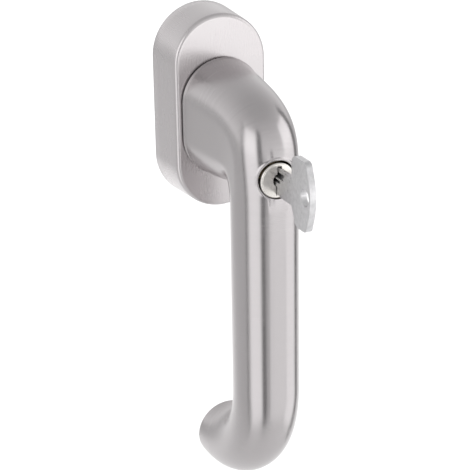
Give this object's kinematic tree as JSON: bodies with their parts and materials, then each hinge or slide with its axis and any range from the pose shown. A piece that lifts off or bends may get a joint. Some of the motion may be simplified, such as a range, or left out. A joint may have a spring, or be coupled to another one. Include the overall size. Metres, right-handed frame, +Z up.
{
  "type": "lockable window handle",
  "caption": "Key-locking tilt-and-turn window handle: oval rose, oval neck, round grip with a return bend, square spindle and a locking pin.",
  "frame": {"origin": "on the spindle axis, in the plane of the rose's back face, which lies on the window sash", "axes": "+Z up along the rose and away from the hanging grip, -Y out of the window towards the room, +X to the right as seen from the room"},
  "size_m": [0.0334, 0.111, 0.1581],
  "materials": {
    "satin_steel": "fine satin brushing on stainless steel",
    "nickel_face": "satin nickel plating",
    "nickel_key": "tumbled nickel plating",
    "die_cast_zinc": "as-cast grey",
    "plated_steel": "bright zinc plating",
    "hardened_steel": "ground and hardened",
    "spring_steel": "blued spring steel",
    "brass": "machined",
    "nylon": "natural nylon"
  },
  "bodies": {
    "rose": {"base_plate": "die_cast_zinc", "rose_cover": "satin_steel", "locking_plate": "hardened_steel", "bearing_bush": "nylon", "fixing_screw_upper": "plated_steel", "fixing_screw_lower": "plated_steel", "detent_ball_upper": "hardened_steel", "detent_ball_lower": "hardened_steel", "detent_spring_upper": "spring_steel", "detent_spring_lower": "spring_steel"},
    "handle": {"lever": "satin_steel", "spindle": "plated_steel", "spindle_cross_pin": "hardened_steel", "detent_disc": "hardened_steel", "thrust_washer": "nylon", "retaining_ring": "spring_steel", "lock_housing": "brass", "bolt_guide": "brass", "cartridge_set_screw": "spring_steel"},
    "plug": {"lock_plug": "nickel_face", "plug_clip": "spring_steel", "drive_pin": "hardened_steel", "wafer_1": "brass", "wafer_2": "brass", "wafer_3": "brass", "wafer_4": "brass", "wafer_5": "brass"},
    "bolt": {"locking_pin": "hardened_steel"},
    "key": {"key": "nickel_key"}
  },
  "joints": [
    {"name": "handle_turn", "type": "hinge", "parent": "rose", "child": "handle", "pos_m": [0, 0, 0], "axis": [0, 1, 0], "range_deg": [-180, 180]},
    {"name": "plug_turn", "type": "hinge", "parent": "handle", "child": "plug", "pos_m": [0, -0.045, -0.0107], "axis": [0, 1, 0], "range_deg": [0, 90]},
    {"name": "locking_pin_slide", "type": "slide", "parent": "handle", "child": "bolt", "axis": [0, 1, 0], "range_m": [0, 0.004]},
    {"name": "key_withdraw", "type": "slide", "parent": "plug", "child": "key", "axis": [0, -1, 0], "range_m": [0, 0.03]}
  ],
  "couplings": [
    {"joint": "plug_turn", "follows": "locking_pin_slide", "rad_per_m": 392.7}
  ]
}
